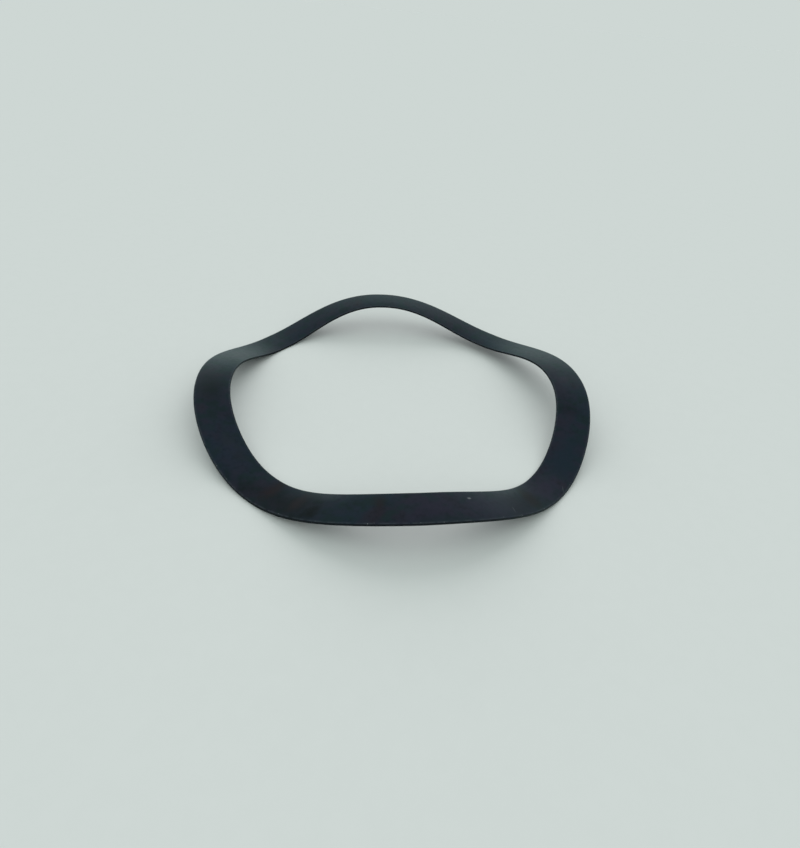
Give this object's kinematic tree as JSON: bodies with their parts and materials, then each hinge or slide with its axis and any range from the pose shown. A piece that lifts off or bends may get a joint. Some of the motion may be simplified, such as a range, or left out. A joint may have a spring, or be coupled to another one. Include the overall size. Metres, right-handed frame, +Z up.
{
  "type": "wave spring washer",
  "caption": "Thin flat ring of blued spring steel pressed into waves, which preloads a ball bearing along its axis and takes up its end play.",
  "frame": {"origin": "on the ring's axis, level with the undersides of the two low seats that it lies on", "axes": "+Z up along the ring's axis, from the seats to the crests; +X and +Y through crests, with the seats halfway between them"},
  "size_m": [0.0465, 0.0464, 0.0039],
  "materials": {
    "blued_spring_steel": "satin blue-black heat blueing on spring steel, with faint brown and blue tints and bare metal specks on the tumbled edges"
  },
  "bodies": {
    "root": {"wave_washer": "blued_spring_steel"}
  },
  "joints": []
}
